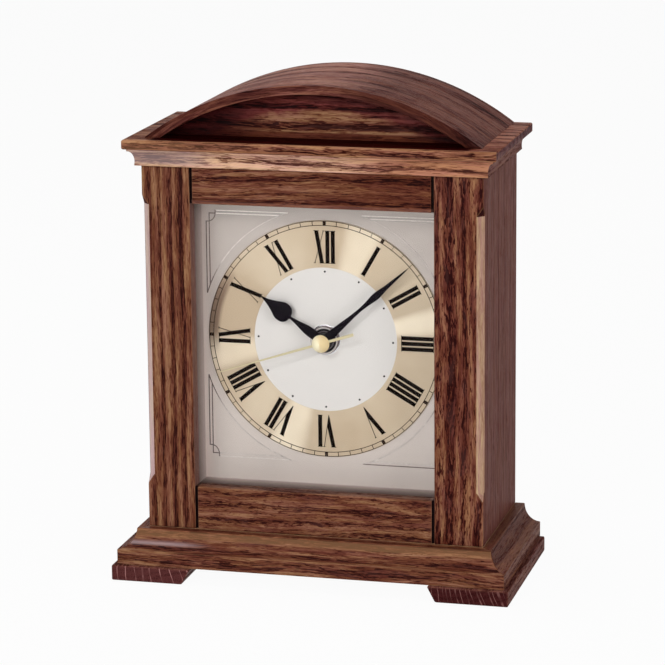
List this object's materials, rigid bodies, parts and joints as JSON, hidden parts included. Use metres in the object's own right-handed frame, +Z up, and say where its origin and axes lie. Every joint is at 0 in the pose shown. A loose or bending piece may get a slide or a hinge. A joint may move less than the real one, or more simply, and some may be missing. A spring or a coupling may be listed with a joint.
{
  "type": "mantel clock",
  "caption": "Wooden mantel clock with an arched hood, moulded plinth on foot runners, glazed square opening, Roman dial with hour, minute and second hands, and a battery movement.",
  "frame": {"origin": "on the floor, under the middle of the outer box", "axes": "+X to the right along the front as the dial is read, +Y to the back, +Z up"},
  "size_m": [0.202, 0.0988, 0.25],
  "materials": {
    "oak_front": "satin oak, open grain, reddish brown stain",
    "oak_side": "satin oak, dark stain",
    "oak_inside": "plain sawn board",
    "glass": "clear flat glass",
    "dark_spacer": "matte",
    "dial_silver": "satin silver grey",
    "ring_gold": "spun satin gold",
    "disc_white": "satin white",
    "black_ink": "matt black print",
    "track_ink": "matt dark print",
    "hand_black": "satin black",
    "hand_gold": "polished pale gold",
    "nickel": "bright nickel",
    "steel": "plain steel",
    "gear_brass": "stamped brass",
    "gear_plastic": "moulded nylon",
    "case_plastic": "moulded black",
    "board_green": "circuit laminate",
    "copper": "enamelled copper wire",
    "cell_wrap": "plain grey wrapper"
  },
  "bodies": {
    "clock_case": {"left_foot": "oak_side", "right_foot": "oak_side", "base_board": "oak_inside", "plinth_front": "oak_front", "plinth_left": "oak_side", "plinth_right": "oak_side", "left_side_panel": "oak_side", "right_side_panel": "oak_side", "left_stile": "oak_front", "right_stile": "oak_front", "top_rail": "oak_front", "bottom_rail": "oak_front", "top_board": "oak_inside", "back_panel": "oak_inside", "back_screws": "steel", "cornice_front": "oak_front", "cornice_left": "oak_side", "cornice_right": "oak_side", "cap_board": "oak_front", "arch_hood": "oak_front", "front_tympanum": "oak_front", "rear_tympanum": "oak_side", "glass_pane": "glass", "spacer_top": "dark_spacer", "spacer_bottom": "dark_spacer", "spacer_left": "dark_spacer", "spacer_right": "dark_spacer", "dial_board": "oak_inside", "dial_plate": "dial_silver", "chapter_ring": "ring_gold", "centre_disc": "disc_white", "hour_dots": "black_ink", "hour_numerals": "black_ink", "minute_track": "track_ink", "fixing_nut": "nickel", "washer": "nickel", "movement_case": "case_plastic", "movement_cover": "case_plastic", "circuit_board": "board_green", "stator": "steel", "coil": "copper", "contact_positive": "steel", "contact_negative": "steel", "train_bridge": "steel"},
    "minute": {"minute_hand": "hand_black", "cannon_pinion": "steel", "centre_wheel": "gear_brass"},
    "hour": {"hour_hand": "hand_black", "hour_wheel": "gear_brass"},
    "seconds": {"second_wheel": "gear_brass", "second_hand": "hand_gold", "second_cap": "hand_gold"},
    "third": {"third_wheel": "gear_brass"},
    "motion": {"motion_wheel": "gear_plastic", "setting_knob": "case_plastic"},
    "intermediate": {"intermediate_wheel": "gear_plastic"},
    "rotor": {"rotor": "steel"},
    "battery": {"battery": "cell_wrap"}
  },
  "joints": [
    {"name": "seconds_turn", "type": "hinge", "parent": "clock_case", "child": "seconds", "pos_m": [0, 0, 0.1191], "axis": [0, 1, 0], "continuous": true},
    {"name": "minute_turn", "type": "hinge", "parent": "clock_case", "child": "minute", "pos_m": [0, 0, 0.1191], "axis": [0, 1, 0], "continuous": true},
    {"name": "hour_turn", "type": "hinge", "parent": "clock_case", "child": "hour", "pos_m": [0, 0, 0.1191], "axis": [0, 1, 0], "continuous": true},
    {"name": "third_turn", "type": "hinge", "parent": "clock_case", "child": "third", "pos_m": [-0.01064, 0, 0.12098], "axis": [0, 1, 0], "continuous": true},
    {"name": "motion_turn", "type": "hinge", "parent": "clock_case", "child": "motion", "pos_m": [0.01039, 0, 0.1251], "axis": [0, 1, 0], "continuous": true},
    {"name": "intermediate_turn", "type": "hinge", "parent": "clock_case", "child": "intermediate", "pos_m": [0, 0, 0.1281], "axis": [0, 1, 0], "continuous": true},
    {"name": "rotor_turn", "type": "hinge", "parent": "clock_case", "child": "rotor", "pos_m": [0.0045, 0, 0.13346], "axis": [0, 1, 0], "continuous": true},
    {"name": "battery_out", "type": "slide", "parent": "clock_case", "child": "battery", "axis": [0, 1, 0], "range_m": [0, 0.02]}
  ],
  "couplings": [
    {"joint": "seconds_turn", "follows": "minute_turn", "ratio": 60},
    {"joint": "hour_turn", "follows": "minute_turn", "ratio": 0.083333},
    {"joint": "third_turn", "follows": "minute_turn", "ratio": -7.5},
    {"joint": "motion_turn", "follows": "minute_turn", "ratio": -0.33333},
    {"joint": "intermediate_turn", "follows": "minute_turn", "ratio": -300},
    {"joint": "rotor_turn", "follows": "minute_turn", "ratio": 1800}
  ]
}
